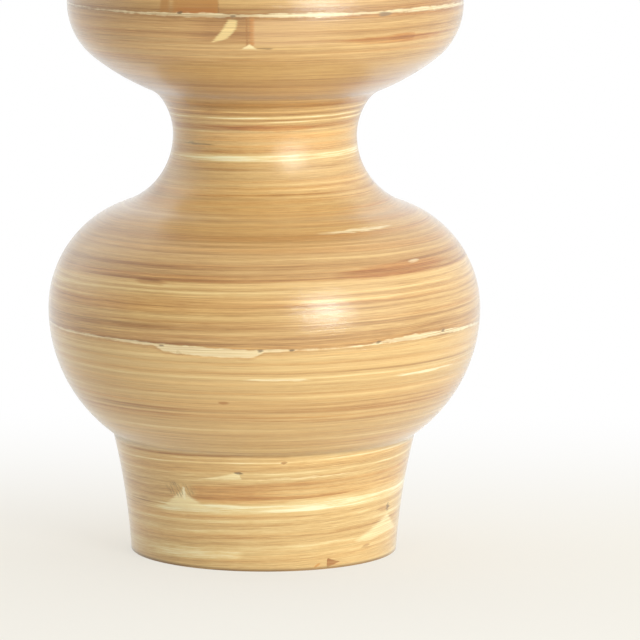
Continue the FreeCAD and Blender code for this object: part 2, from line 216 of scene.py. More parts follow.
def value_at(height, table):
    """The value at this height in a table of heights and values."""
    for (low, first), (high, second) in zip(table, table[1:]):
        if height <= high:
            return first + (second - first) * max(height - low, 0) / (high - low)
    return table[-1][1]


class Place:
    """A place on the outer line: radius and height, normal, inner place, and lap."""

    def __init__(self, radius, height, normal, lap):
        self.outer = (radius, height)
        self.normal = normal
        inner_radius = radius - normal[0] * WALL
        inner_height = height - normal[1] * WALL
        if inner_height < BASE_TOP:
            inner_radius = max(inner_radius, BASE_RADIUS)
        if inner_height > UPPER_BELLY[1]:
            inner_radius = max(inner_radius, BORE_RADIUS)
        self.inner = (inner_radius, inner_height)
        self.lap = lap


def outer_line():
    """Places along the outer line, close together, from the floor to the rim's seat."""
    places, height, lap = [], 0.0, 0.0
    nudge = LINE_STEP / 10
    while height < RIM_SEAT:
        run = outer_radius(height + nudge) - outer_radius(height)
        normal = Vector((nudge, -run)).normalized()
        places.append(Place(outer_radius(height), height, normal, lap))
        height += LINE_STEP * normal[0]
        lap += LINE_STEP / value_at(height, STRIP_WIDTHS)
    places.append(Place(outer_radius(RIM_SEAT), RIM_SEAT, normal, lap))
    return places


LINE = outer_line()


def nearest(low, high, side, axis, target):
    """The number of the place whose outer or inner point comes nearest to this edge."""
    return min(range(low, high), key=lambda n: abs(getattr(LINE[n], side)[axis] - target))


def edges():
    """Where each ring of the wall ends, as places on the outer and on the inner line."""
    found = [(0, 0)]
    for lower, upper in zip(RINGS, RINGS[1:]):
        low_box, high_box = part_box(lower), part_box(upper)
        if abs(low_box[1].z - high_box[0].z) < LEVEL_GAP:
            axis, target = 1, low_box[1].z
        else:
            axis, target = 0, min(low_box[1].x, high_box[1].x)
        near = [n for n, place in enumerate(LINE) if place.outer[1] < high_box[1].z]
        start, end = found[-1][0] + 1, near[-1] + 1
        found.append(tuple(nearest(start, end, side, axis, target) for side in ("outer", "inner")))
    return found + [(len(LINE) - 1, len(LINE) - 1)]


# The chip in the foot's lower edge: its upright end as a share of a turn, the height of its
# middle, and in metres how tall it is there, how long and how deep.
CHIP_TURN = 0.0795
CHIP_HEIGHT = 3.1 * MM
CHIP_HALF = 2.4 * MM
CHIP_LENGTH = 7.5 * MM
CHIP_DEPTH = 0.9 * MM


def chip_depth(turn, height):
    """How far the chip lies under the foot's surface at this share of a turn and height."""
    along_chip = (turn - CHIP_TURN) * 2 * math.pi * STAND[0]
    share = 1 - along_chip / CHIP_LENGTH - abs(height - CHIP_HEIGHT) / CHIP_HALF
    return CHIP_DEPTH * min(max(share * 2, 0), 1) if along_chip > 0 else 0


def add_object(name, data):
    """A new object of this data in the scene."""
    made = bpy.data.objects.new(name, data)
    bpy.context.collection.objects.link(made)
    return made


def turned(name, section, laps, normals, segments=SEGMENTS, dent=None):
    """A closed ring from a section's points, turned about Z, with a normal for each corner.

    normals holds for each side of the section the normals at its two ends.
    """
    count = len(section)
    vertices, polygons, corner_normals = [], [], []
    for step in range(segments):
        share = step / segments
        x, y = math.sin(2 * math.pi * share), -math.cos(2 * math.pi * share)
        for radius, height in section:
            if dent and radius > outer_radius(height) - WALL / 4:
                radius -= dent(share, height)
            vertices.append((radius * x, radius * y, height))
    ways = [Vector(vertices[step * count][:2]).normalized() for step in range(segments)]
    for step in range(segments):
        after = (step + 1) % segments
        here, there = step * count, after * count
        for side in range(count):
            following = (side + 1) % count
            polygons.append((here + side, there + side, there + following, here + following))
            for way, end in ((step, 0), (after, 0), (after, 1), (step, 1)):
                across, up = normals[side][end]
                corner_normals.append((across * ways[way][0], across * ways[way][1], up))
    mesh = bpy.data.meshes.new(name)
    mesh.from_pydata(vertices, [], polygons)
    mesh.normals_split_custom_set(corner_normals)
    attribute = mesh.attributes.new("lap", "FLOAT", "POINT")
    attribute.data.foreach_set("value", laps * segments)
    return add_object(name, mesh)


def evenly(first, last, count):
    """Places on the line from one number to another, in this many even steps."""
    return [LINE[round(first + (last - first) * step / count)] for step in range(count + 1)]


def ring_piece(node, start, end):
    """The mesh of one ring of the wall, between two edges."""
    chipped = node == "foot_strip_1"
    factor = CHIPPED_FACTOR if chipped else 1
    rows = max(INNER_ROWS, round((end[0] - start[0]) * LINE_STEP / (ROW_STEP / factor)))
    outside = evenly(start[0], end[0], rows)
    inside = evenly(end[1], start[1], INNER_ROWS)
    section = [place.outer for place in outside] + [place.inner for place in inside]
    laps = [place.lap for place in outside + inside]
    out = [tuple(place.normal) for place in outside]
    into = [(-across, -up) for across, up in (place.normal for place in inside)]
    top = section_normal(outside[-1].outer, inside[0].inner)
    bottom = section_normal(inside[-1].inner, outside[0].outer)
    normals = list(zip(out, out[1:])) + [(top, top)] + list(zip(into, into[1:]))
    normals.append((bottom, bottom))
    dent = chip_depth if chipped else None
    return turned("wound_" + node, section, laps, normals, SEGMENTS * factor, dent)


def section_normal(start, end):
    """The outward normal of a side of a section that runs from start to end."""
    return tuple(Vector((end[1] - start[1], start[0] - end[0])).normalized())


def rim_piece():
    """The rounded rim on the neck: flat seat, upright sides, half round top."""
    low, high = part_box("mouth_rim")
    outer = high.x
    inner = BORE_RADIUS + RIM_INSET
    middle, half = (outer + inner) / 2, (outer - inner) / 2
    crown = high.z - half
    arch = [math.pi * step / ARCH_STEPS for step in range(ARCH_STEPS + 1)]
    section = [(outer, low.z)]
    section += [(middle + half * math.cos(a), crown + half * math.sin(a)) for a in arch]
    section.append((inner, low.z))
    round_normals = [(math.cos(a), math.sin(a)) for a in arch]
    normals = [((1, 0), (1, 0))] + list(zip(round_normals, round_normals[1:]))
    normals += [((-1, 0), (-1, 0)), ((0, -1), (0, -1))]
    lap, laps = LINE[-1].lap, []
    for number, point in enumerate(section):
        if number:
            lap += math.dist(point, section[number - 1]) / STRIP_WIDTHS[-1][1]
        laps.append(lap)
    return turned("wound_mouth_rim", section, laps, normals)


class Value:
    """A number in a shader, with the arithmetic that builds its math nodes."""

    def __init__(self, graph, socket):
        self.graph = graph
        self.socket = socket

    def __add__(self, other):
        return self.graph.math("ADD", self, other)

    def __sub__(self, other):
        return self.graph.math("SUBTRACT", self, other)

    def __mul__(self, other):
        return self.graph.math("MULTIPLY", self, other)

    def __truediv__(self, other):
        return self.graph.math("DIVIDE", self, other)

    def __abs__(self):
        return self.graph.math("ABSOLUTE", self)

    def floor(self):
        return self.graph.math("FLOOR", self)

    def least(self, other):
        return self.graph.math("MINIMUM", self, other)

    def most(self, other):
        return self.graph.math("MAXIMUM", self, other)

    def flipped(self):
        """One minus this."""
        return self.graph.math("SUBTRACT", 1.0, self)

    def step(self, low, high):
        """Rises smoothly from 0 at low to 1 at high."""
        return self.graph.spread(self, low, high, 0.0, 1.0)


class Graph:
    """Builds the nodes of one material, or of the world."""

    def __init__(self, tree):
        self.tree = tree
        tree.nodes.clear()

    def node(self, kind, **settings):
        made = self.tree.nodes.new(kind)
        for name, value in settings.items():
            setattr(made, name, value)
        return made

    def feed(self, socket, value):
        if isinstance(value, Value):
            self.tree.links.new(value.socket, socket)
        elif isinstance(value, bpy.types.NodeSocket):
            self.tree.links.new(value, socket)
        else:
            socket.default_value = value

    def math(self, operation, *values):
        made = self.node("ShaderNodeMath", operation=operation)
        for socket, value in zip(made.inputs, values):
            self.feed(socket, value)
        return Value(self, made.outputs[0])

    def spread(self, value, low, high, to_low, to_high, smooth=True):
        made = self.node("ShaderNodeMapRange")
        made.interpolation_type = "SMOOTHSTEP" if smooth else "LINEAR"
        names = ("Value", "From Min", "From Max", "To Min", "To Max")
        for name, given in zip(names, (value, low, high, to_low, to_high)):
            self.feed(made.inputs[name], given)
        return Value(self, made.outputs["Result"])

    def rays(self):
        """1 for what the camera sees straight, and 1 for what gloss or glass shows it."""
        path = self.node("ShaderNodeLightPath").outputs
        gloss = Value(self, path["Is Glossy Ray"]).most(Value(self, path["Is Transmission Ray"]))
        return Value(self, path["Is Camera Ray"]), gloss

    def bump(self, shader, height, distance):
        """The fine relief of a shader's surface; gives the node for a coat to share."""
        made = self.node("ShaderNodeBump")
        made.inputs["Distance"].default_value = distance
        made.inputs["Strength"].default_value = BUMP_STRENGTH
        self.feed(made.inputs["Height"], height)
        self.feed(shader.inputs["Normal"], made.outputs["Normal"])
        return made

    def blend(self, share, first, second):
        """A shader that is this share of the second and the rest of the first."""
        made = self.node("ShaderNodeMixShader")
        for socket, value in zip(made.inputs, (share, first.outputs[0], second.outputs[0])):
            self.feed(socket, value)
        return made

    def show(self, shader, kind="ShaderNodeOutputMaterial"):
        """Make this shader the one that is seen."""
        self.feed(self.node(kind).inputs["Surface"], shader.outputs[0])

    def coordinates(self, kind):
        """The place or direction that is being painted, and its three parts."""
        place = self.node("ShaderNodeTexCoord").outputs[kind]
        parts = self.node("ShaderNodeSeparateXYZ")
        self.feed(parts.inputs[0], place)
        return place, [Value(self, output) for output in parts.outputs]

    def place(self):
        """The place on the vase, and its three parts in millimetres."""
        place, parts = self.coordinates("Object")
        return place, [part / MM for part in parts]

    def vector(self, x, y, z=0.0):
        made = self.node("ShaderNodeCombineXYZ")
        for socket, value in zip(made.inputs, (x, y, z)):
            self.feed(socket, value)
        return made.outputs[0]

    def noise(self, place, detail=2.0, roughness=0.5, scale=1.0):
        """Noise about zero, from about -1 to 1."""
        made = self.node("ShaderNodeTexNoise", noise_dimensions="3D", normalize=False)
        self.feed(made.inputs["Vector"], place)
        made.inputs["Scale"].default_value = scale
        made.inputs["Detail"].default_value = detail
        made.inputs["Roughness"].default_value = roughness
        return Value(self, made.outputs[0])

    def chance(self, number):
        """A fixed random share for each whole number."""
        made = self.node("ShaderNodeTexWhiteNoise", noise_dimensions="1D")
        self.feed(made.inputs["W"], number)
        return Value(self, made.outputs["Value"])

    def colours(self, value, stops):
        """A colour ramp through these stops, each a share and a colour."""
        made = self.node("ShaderNodeValToRGB")
        ramp = made.color_ramp
        while len(ramp.elements) < len(stops):
            ramp.elements.new(0.5)
        for element, (share, colour) in zip(ramp.elements, stops):
            element.position = share
            element.color = (*colour, 1.0)
        self.feed(made.inputs["Fac"], value)
        return made.outputs["Color"]

    def mix(self, share, first, second):
        made = self.node("ShaderNodeMix", data_type="RGBA", clamp_factor=True)
        self.feed(made.inputs["Factor"], share)
        for name, value in (("A", first), ("B", second)):
            socket = next(s for s in made.inputs if s.name == name and s.type == "RGBA")
            if isinstance(value, tuple):
                value = (*value, 1.0)
            self.feed(socket, value)
        return next(s for s in made.outputs if s.type == "RGBA")

    def curve(self, value, points):
        """A curve through points of share and level, with straight runs between them."""
        made = self.node("ShaderNodeFloatCurve")
        line = made.mapping.curves[0]
        while len(line.points) < len(points):
            line.points.new(0.5, 0.5)
        for point, (share, level) in zip(line.points, points):
            point.location = (share, level)
            point.handle_type = "VECTOR"
        made.mapping.update()
        self.feed(made.inputs["Value"], value)
        return Value(self, made.outputs["Value"])


# Lines and bands along the strips, as the front of the vase shows them: the height in
# millimetres where one crosses the front, its half width, its tone from -1, brown, to 1,
# cream, and its warmth from 0 to 1, orange.
FOOT_BANDS = [
    (4.5, 0.8, -0.10, 0.3),
    (6.4, 1.0, 0.16, 0.0),
    (10.5, 1.8, 0.22, 0.0),
    (14.0, 1.0, -0.20, 0.4),
    (17.3, 1.3, -0.24, 0.3),
    (20.6, 0.9, 0.20, 0.0),
    (23.4, 0.8, -0.24, 0.3),
    (25.4, 0.9, 0.30, 0.0),
    (27.6, 0.8, -0.14, 0.2),
    (32.3, 3.0, 0.78, 0.0),
    (37.6, 1.6, -0.26, 0.5),
    (41.0, 1.6, -0.22, 0.5),
    (44.6, 1.6, -0.26, 0.6),
    (48.0, 1.0, -0.16, 0.3),
    (50.4, 0.5, 0.34, 0.0),
    (53.0, 1.2, -0.12, 0.1),
    (56.6, 0.5, 0.50, 0.0),
    (58.4, 0.5, 0.34, 0.0),
    (60.4, 0.8, -0.34, 0.5),
]
BOWL_BANDS = [
    (62.4, 0.6, -0.16, 0.2),
    (64.6, 0.7, 0.26, 0.0),
    (67.5, 0.9, -0.14, 0.2),
    (70.5, 0.7, 0.16, 0.0),
    (73.0, 0.9, -0.10, 0.1),
    (76.1, 0.8, 0.24, 0.0),
    (79.0, 0.9, 0.06, 0.0),
    (81.3, 1.0, -0.28, 0.5),
    (84.0, 1.3, -0.24, 0.5),
    (86.9, 1.9, -0.30, 0.5),
    (90.5, 1.0, -0.16, 0.2),
    (94.6, 1.0, 0.20, 0.0),
    (98.5, 0.8, -0.10, 0.1),
    (101.6, 0.7, 0.14, 0.0),
    (105.0, 0.6, 0.26, 0.0),
    (107.4, 0.6, -0.26, 0.3),
    (109.4, 0.6, 0.16, 0.0),
    (112.5, 0.9, -0.08, 0.0),
    (115.4, 0.9, 0.14, 0.0),
    (118.2, 0.7, 0.10, 0.0),
]
SHOULDER_BANDS = [
    (122.2, 0.8, -0.20, 0.3),
    (124.8, 1.2, -0.16, 0.3),
    (127.2, 0.6, 0.16, 0.0),
    (129.7, 1.0, -0.24, 0.4),
    (132.6, 0.9, -0.14, 0.3),
    (135.1, 0.6, 0.20, 0.0),
    (137.8, 0.8, -0.16, 0.2),
    (140.4, 0.9, -0.28, 0.4),
    (142.6, 1.0, 0.36, 0.0),
    (146.7, 1.5, 0.34, 0.0),
    (150.2, 1.5, 0.30, 0.0),
    (152.8, 0.9, -0.36, 0.4),
    (155.5, 1.0, -0.18, 0.5),
    (158.8, 1.2, -0.28, 0.5),
    (162.4, 0.9, 0.20, 0.0),
    (165.5, 0.9, -0.22, 0.2),
    (169.5, 0.8, 0.20, 0.0),
    (173.4, 1.0, -0.08, 0.3),
    (177.1, 1.1, -0.16, 0.4),
    (180.6, 0.9, 0.24, 0.1),
    (182.6, 0.7, -0.10, 0.2),
]
WAIST_BANDS = [
    (184.8, 0.5, 0.36, 0.0),
    (187.2, 0.7, -0.14, 0.2),
    (189.9, 0.9, -0.32, 0.5),
    (192.2, 0.4, 0.28, 0.0),
    (193.6, 0.4, -0.16, 0.2),
    (195.0, 0.4, 0.22, 0.0),
    (198.6, 0.9, -0.12, 0.2),
    (202.2, 0.8, -0.24, 0.4),
    (205.0, 0.5, 0.16, 0.0),
    (207.8, 1.7, 0.80, 0.0),
    (211.4, 0.9, -0.16, 0.3),
    (214.2, 0.9, 0.02, 0.5),
    (217.2, 1.2, 0.04, 0.5),
    (219.6, 0.6, 0.16, 0.2),
    (221.4, 0.4, 0.24, 0.0),
    (223.7, 1.2, -0.30, 1.0),
]
FLARE_BANDS = [
    (226.1, 0.5, 0.80, 0.0),
    (227.3, 0.4, -0.30, 0.4),
    (228.7, 0.5, 0.70, 0.0),
    (230.2, 0.5, -0.30, 0.3),
    (231.9, 0.5, 0.66, 0.0),
    (234.4, 1.0, -0.22, 0.2),
]
BELLY_BANDS = [
    *FLARE_BANDS,
    (236.4, 0.5, -0.10, 0.2),
    (237.8, 0.5, 0.16, 0.0),
    (240.0, 0.8, -0.22, 0.4),
    (243.2, 0.9, -0.12, 0.5),
    (247.0, 1.4, -0.14, 0.5),
    (250.7, 0.6, -0.30, 0.3),
    (253.6, 0.7, 0.10, 0.0),
    (257.0, 1.3, 0.10, 0.0),
    (261.0, 0.7, -0.12, 0.1),
    (263.6, 0.8, 0.14, 0.0),
    (267.2, 0.8, 0.16, 0.0),
    (270.6, 0.8, -0.30, 0.5),
    (273.2, 0.6, 0.10, 0.0),
    (275.6, 0.9, -0.14, 0.2),
    (278.4, 0.7, 0.16, 0.0),
    (281.0, 0.9, -0.12, 0.1),
    (287.2, 0.8, -0.22, 0.5),
    (290.4, 1.0, 0.10, 0.1),
]
# The share of a turn at which the bands' heights were taken.
MEASURED_TURN = -0.045
# A band across its width: places from its middle in half widths, and its strength there.
BAND_SHAPE = [(-1.3, 0), (-0.5, 1), (0.5, 1), (1.3, 0)]
# How much more wall than its bands a curve covers, in millimetres, and how close its points
# may come. Then how strongly the bands change the tone and the warmth.
BAND_MARGIN = 3
POINT_GAP = 0.0005
BAND_TONE = 1.1
BAND_WARMTH = 0.5

# The two filled joints as the front shows them: the share of a turn from the front, the
# height of the filling's middle and half its width, both in millimetres.
LOWER_SEAM = [
    (-0.22, 120.4, 0.5),
    (-0.12, 121.0, 0.5),
    (-0.08, 120.6, 0.6),
    (-0.072, 119.2, 1.9),
    (-0.045, 118.4, 2.3),
    (-0.007, 117.7, 2.0),
    (0.001, 119.3, 0.7),
    (0.028, 119.8, 0.3),
    (0.05, 120.0, 0.05),
    (0.076, 120.6, 0.2),
    (0.094, 121.8, 0.8),
    (0.12, 122.6, 1.3),
    (0.15, 122.8, 1.0),
    (0.21, 121.6, 0.5),
]
UPPER_SEAM = [
    (-0.22, 284.4, 0.3),
    (-0.105, 284.4, 0.4),
    (-0.08, 284.3, 0.8),
    (-0.037, 284.6, 1.1),
    (-0.018, 284.4, 0.5),
    (0.012, 284.8, 0.9),
    (0.05, 285.0, 1.1),
    (0.066, 285.1, 0.6),
    (0.095, 285.3, 0.3),
    (0.112, 285.5, 0.7),
    (0.14, 285.7, 1.0),
    (0.20, 285.3, 1.0),
    (0.25, 284.8, 0.5),
]
# How far the joints are measured to each side, as a share of a turn, and the height that
# their curves cover, in millimetres.
SEAM_SPAN = 0.25
SEAM_REACH = 10.0

# The bamboo's own nodes on the sides and the back: how many in a turn, and how far apart in
# millimetres. Then how much of the fibres' relief shows.
NODES_PER_TURN = 2.3
NODE_GAP = 230.0
BUMP_STRENGTH = 0.6


def new_material(name):
    """A material and the graph of its nodes."""
    material = bpy.data.materials.new(name)
    material.use_nodes = True
    return material, Graph(material.node_tree)


def lap_at(height, turn):
    """The lap of the strip line that crosses this height at this share of a turn."""
    place = next((place for place in LINE if place.outer[1] >= height * MM), LINE[-1])
    return place.lap - turn


class Wall:
    """The bamboo of one part of the wall while it is painted: its tone, warmth and coats."""

    def __init__(self, graph, lift):
        self.graph = graph
        self.place, (x, y, self.height) = graph.place()
        self.turn = graph.math("ARCTAN2", x, y * -1.0) / (2 * math.pi)
        lap = graph.node("ShaderNodeAttribute", attribute_name="lap").outputs["Fac"]
        sway = graph.noise(self.place, detail=1.0, scale=14.0) * 0.035
        self.strips = Value(graph, lap) - self.turn + sway
        number = self.strips.floor()
        self.across = self.strips - number
        self.length = number + self.turn
        self.front = abs(self.turn).step(0.40, 0.27)
        self.ragged = graph.noise(graph.vector(self.length * 60.0, self.strips * 14.0, 2.0))
        self.frayed = graph.noise(
            graph.vector(self.length * 9.0, self.strips * 34.0, 6.0), detail=1.0
        )
        self.coats = []
        self.grow(lift)

    def grain(self, in_turn, in_strip, seed, detail=2.0):
        """Noise drawn out along the strips: so many cells in a turn, and across a strip."""
        place = self.graph.vector(self.length * in_turn, self.across * in_strip, seed)
        return self.graph.noise(place, detail=detail, roughness=0.55)

    def grow(self, lift):
        """The bamboo's own tone: each strip's, then its streaks, lines and fibres."""
        strip = self.graph.noise(self.graph.vector(self.length * 0.8, 0.0, 7.7), detail=0.0)
        bands = self.grain(2.4, 3.0, 1.0, detail=1.0)
        streaks = self.grain(5.0, 12.0, 9.0)
        self.lines = self.grain(8.0, 30.0, 4.0, detail=3.0)
        self.fibres = self.grain(30.0, 84.0, 14.0)
        specks = self.grain(110.0, 60.0, 5.0)
        dark = self.lines.step(0.20, 0.45) * streaks.step(-0.3, 0.3)
        bright = self.lines.step(-0.20, -0.50)
        self.tone = strip * 0.11 + bands * 0.09 + streaks * 0.08 + self.lines * 0.18
        self.tone = self.tone + self.fibres * 0.23 + specks * 0.08 - dark * 0.07 + bright * 0.07
        self.tone = self.tone + (0.50 + lift)
        self.warmth = self.grain(2.0, 2.0, 12.0, detail=1.0) * 0.5 + streaks * 0.25 + 0.08

    def join_strips(self):
        """Where two strips meet: a pale line of glue in places, a dark one in others."""
        edge = self.across.least(self.across.flipped())
        varied = self.graph.noise(self.graph.vector(self.length * 2.0, 0.0, 3.1), detail=1.0)
        aside = self.front * -0.75 + 1.0
        self.tone = self.tone + edge.step(0.045, 0.012) * varied.step(-0.1, 0.4) * aside * 0.42
        self.tone = self.tone - edge.step(0.06, 0.015) * varied.step(0.0, -0.4) * aside * 0.30

    def add_nodes(self):
        """The bamboo's nodes: short scars across a strip, once in about half a turn."""
        cells = self.length * NODES_PER_TURN
        cell = cells.floor()
        middle = self.graph.chance(cell) * 0.4 + 0.3
        offset = (cells - cell - middle) * NODE_GAP + self.ragged * 1.5
        shown = self.front.flipped() * self.graph.chance(cell + 0.5).step(0.35, 0.36)
        inside = abs(self.across - 0.5).step(0.46, 0.36)
        line = abs(offset).step(1.2, 0.5) * inside * shown
        shade = abs(offset - 5.0).step(9.0, 1.0) * inside * shown
        self.tone = self.tone - line * 0.42 - shade * 0.12
        self.warmth = self.warmth + line * 0.6 + shade * 0.35

    def add_bands(self, bands):
        """The lines and bands of the front, fading out round the sides."""
        low = lap_at(bands[0][0] - BAND_MARGIN, MEASURED_TURN)
        high = lap_at(bands[-1][0] + BAND_MARGIN, MEASURED_TURN)
        share = self.graph.spread(self.strips, low, high, 0.0, 1.0, smooth=False)
        tones, warmths = [(0.0, 0.5)], [(0.0, 0.0)]
        for height, half, tone, warmth in bands:
            width = value_at(height * MM, STRIP_WIDTHS) / MM
            middle = (lap_at(height, MEASURED_TURN) - low) / (high - low)
            reach = half / width / (high - low)
            for points, rest, rise in ((tones, 0.5, tone / 2), (warmths, 0.0, warmth)):
                for way, strength in BAND_SHAPE:
                    at = max(middle + reach * way, points[-1][0] + POINT_GAP)
                    points.append((at, rest + rise * strength))
        tones.append((1.0, 0.5))
        warmths.append((1.0, 0.0))
        fading = (self.grain(7.0, 6.0, 21.0) * 1.3 + 0.75).most(0.1) * self.front
        tone = self.graph.curve(share, tones) - 0.5
        self.tone = self.tone + tone * fading * BAND_TONE
        self.warmth = self.warmth + self.graph.curve(share, warmths) * fading * BAND_WARMTH

    def coat(self, mask, colour):
        """Something that lies over the bamboo's tone, in a colour of its own."""
        self.coats.append((mask, colour))

    def shade(self, mask, tone, warmth=0.0):
        """A change of the bamboo's own tone and warmth under a mask."""
        self.tone = self.tone + mask * tone
        if warmth:
            self.warmth = self.warmth + mask * warmth

    def colour(self):
        """The finished colour: tone and warmth, then the coats, worn along the fibres."""
        tone = self.tone.least(1.0).most(0.0)
        plain = self.graph.colours(tone, PLAIN_STOPS)
        warm = self.graph.colours(tone, WARM_STOPS)
        colour = self.graph.mix(self.warmth.least(1.0).most(0.0), plain, warm)
        worn = (self.lines * 0.5 + self.fibres * 0.4 + 0.86).least(1.0)
        for mask, paint in self.coats:
            colour = self.graph.mix(mask * worn, colour, paint)
        return colour


# The bamboo's colours from the darkest tone to the palest, plain and where it is warm.
PLAIN_STOPS = [
    (0.00, (0.30, 0.155, 0.055)),
    (0.25, (0.50, 0.285, 0.105)),
    (0.50, (0.68, 0.445, 0.182)),
    (0.75, (0.81, 0.628, 0.308)),
    (1.00, (0.92, 0.840, 0.565)),
]
WARM_STOPS = [
    (0.00, (0.29, 0.110, 0.030)),
    (0.25, (0.49, 0.215, 0.060)),
    (0.50, (0.70, 0.365, 0.110)),
    (0.75, (0.82, 0.520, 0.190)),
    (1.00, (0.93, 0.780, 0.460)),
]
CREAM = (0.93, 0.82, 0.54)
PALE = (0.92, 0.77, 0.43)
STRAW = (0.90, 0.69, 0.31)
PINK = (0.74, 0.48, 0.25)
ORANGE = (0.62, 0.27, 0.06)
COPPER = (0.56, 0.225, 0.06)
BROWN = (0.47, 0.205, 0.05)
DEEP_BROWN = (0.43, 0.19, 0.05)
RED_BROWN = (0.42, 0.13, 0.03)
UMBER = (0.38, 0.16, 0.045)
PAINTED_SHADE_OLIVE = (0.40, 0.27, 0.12)
RUST = (0.40, 0.16, 0.04)
SHADOW = (0.24, 0.16, 0.09)
SOOT = (0.15, 0.09, 0.04)
# The joints' filling and the flecks in it, the chip and its edge, and the foot's dirt and painted
# contact shadow.
FILLING = (0.90, 0.77, 0.48)
FILLING_FLECK = (0.62, 0.45, 0.22)
CHIP_FACE = (0.42, 0.18, 0.05)
CHIP_EDGE = (0.34, 0.13, 0.035)
DIRT_AND_CONTACT_SHADE = (0.21, 0.11, 0.04)


class Spot:
    """A place on the wall, from its share of a turn and its height in millimetres.

    along and up are the millimetres from it, along strips of this tilt, and ragged is how
    far the edges of its marks waver.
    """

    def __init__(self, wall, turn, height, tilt=0.0, ragged=0.6):
        radius = outer_radius(height * MM) / MM
        straight = (wall.turn - turn) * (2 * math.pi * radius)
        self.up = wall.height - height - straight * tilt + wall.ragged * ragged
        self.along = straight + wall.frayed * (ragged * 2)

    def oval(self, half_length, half_height):
        """A soft oval about the spot."""
        along_share, up_share = self.along / half_length, self.up / half_height
        return (along_share * along_share + up_share * up_share).step(1.5, 0.4)

    def box(self, left, right, bottom, top, soft=0.4, fade=(0.4, 0.4)):
        """A patch between two places along and two heights, with edges and ends this soft."""
        start, end = fade
        mask = (self.along - left).step(-start, start) * (self.along - right).step(end, -end)
        return mask * (self.up - bottom).step(-soft, soft) * (self.up - top).step(soft, -soft)

    def peak(self, left, right, height, soft=0.35):
        """A triangle that stands on the spot's level, with its point above the spot."""
        rising = self.along / left + self.up / height
        falling = self.along / right + self.up / height
        slopes = rising.most(falling)
        return (slopes - 1.0).step(soft / 4, -soft / 4) * self.up.step(-soft, soft)


def seam(wall, places):
    """The light filling of a joint, wavering along its line, with dark flecks in it."""
    share = wall.graph.spread(wall.turn, -SEAM_SPAN, SEAM_SPAN, 0.0, 1.0, smooth=False)
    level = sum(place[1] for place in places) / len(places)
    middles, halves = [], []
    for turn, height, half in places:
        at = (turn + SEAM_SPAN) / (2 * SEAM_SPAN)
        middles.append((at, (height - level) / SEAM_REACH + 0.5))
        halves.append((at, half / SEAM_REACH))
    middle = (wall.graph.curve(share, middles) - 0.5) * SEAM_REACH + level
    half = wall.graph.curve(share, halves) * SEAM_REACH
    fine = wall.graph.noise(wall.place, scale=260.0)
    away = abs(wall.height - middle + wall.ragged * 0.5) - half + fine * 0.35
    filled = away.step(0.45, -0.45)
    worn = (wall.frayed * 0.9 + 0.74).least(0.95).most(0.35)
    wall.shade(away.step(2.2, 0.2), -0.12, 0.15)
    fleck = wall.graph.noise(wall.place, detail=1.0, scale=110.0).step(0.34, 0.52)
    wall.coat(abs(away).step(0.7, 0.1) * fleck * 0.6, RUST)
    wall.coat(filled * worn, FILLING)
    wall.coat(filled * fleck * 0.55, FILLING_FLECK)


def mark_foot(wall):
    """Two scars where shoots were cut off, the wedge over them, and the worn bottom edge, where
    painted contact shadow and some dirt darken the lowest millimetres.
    """
    warm = Spot(wall, -0.045, 40.0, 0.03)
    wall.shade(warm.box(-16.0, 24.0, -4.6, 4.6, 2.2, (4.0, 16.0)), -0.10, 0.50)
    left = Spot(wall, -0.165, 30.5, 0.035)
    wall.shade(left.box(-40.0, 20.0, -2.0, 2.6, 1.5, (5.0, 16.0)), -0.34)
    scar = Spot(wall, -0.0935, 31.8, 0.03, 0.4)
    wall.coat(scar.peak(-12.0, 13.5, 8.4, 0.6), PALE)
    lashes = wall.graph.noise(
        wall.graph.vector(scar.along * 1.3 + scar.up * 0.6, scar.up * 0.12, 8.0), detail=1.0
    )
    fan = Spot(wall, -0.096, 40.8)
    wall.coat(fan.oval(9.0, 3.8) * lashes.step(0.0, 0.22) * 0.62, SOOT)
    wall.coat(Spot(wall, -0.091, 40.0, ragged=0.3).box(-0.6, 0.8, -4.0, 2.4), CREAM)
    wedge = Spot(wall, -0.025, 48.4, 0.05)
    wall.coat(wedge.peak(-22.0, 1.6, 3.4, 0.6) * 0.9, PALE)
    wall.coat(Spot(wall, -0.025, 51.6).oval(2.2, 0.7) * 0.8, SOOT)
    wall.coat(Spot(wall, 0.045, 49.0, 0.035).oval(30.0, 0.6) * 0.6, PALE)
    second = Spot(wall, 0.1762, 14.2)
    wall.coat(second.peak(-22.0, 13.0, 9.4, 0.7) * 0.95, PALE)
    tail = Spot(wall, 0.146, 13.6, 0.05)
    wall.coat(tail.oval(12.0, 1.6) * 0.7, PALE)
    mark = Spot(wall, 0.1745, 27.2)
    wall.coat(mark.oval(1.6, 1.9) * 0.75, SOOT)
    wall.shade(Spot(wall, 0.165, 27.0).oval(7.0, 1.2), -0.20, 0.2)
    wall.coat(Spot(wall, 0.137, 9.4, 0.1).oval(3.0, 1.0) * 0.6, RUST)
    worn = Spot(wall, -0.085, 7.6, 0.03)
    wall.shade(worn.box(-24.0, 26.0, -2.0, 2.0, 1.2, (8.0, 3.0)), 0.24, 0.3)
    chip = Spot(wall, CHIP_TURN, CHIP_HEIGHT / MM, ragged=0.2)
    inside = abs(chip.up) / (CHIP_HALF / MM) + chip.along / (CHIP_LENGTH / MM) - 1.0
    inside = inside.step(0.10, -0.10) * chip.along.step(-0.15, 0.15)
    wall.coat(inside, CHIP_FACE)
    wall.coat(inside * (chip.up - 0.6).step(-0.6, 0.6) * 0.8, CHIP_EDGE)
    wall.coat(Spot(wall, 0.066, 2.2, 0.6, 0.2).oval(1.8, 0.7) * 0.8, ORANGE)
    # Painted shade: the foot's lowest 2 mm and its underside are darkened to stand for the contact
    # shadow, with some dirt on the end grain.
    wall.coat(wall.height.step(1.9, 0.5) * 0.9, DIRT_AND_CONTACT_SHADE)
    wall.coat(Spot(wall, 0.0225, 57.4).oval(1.6, 0.6) * 0.8, RUST)


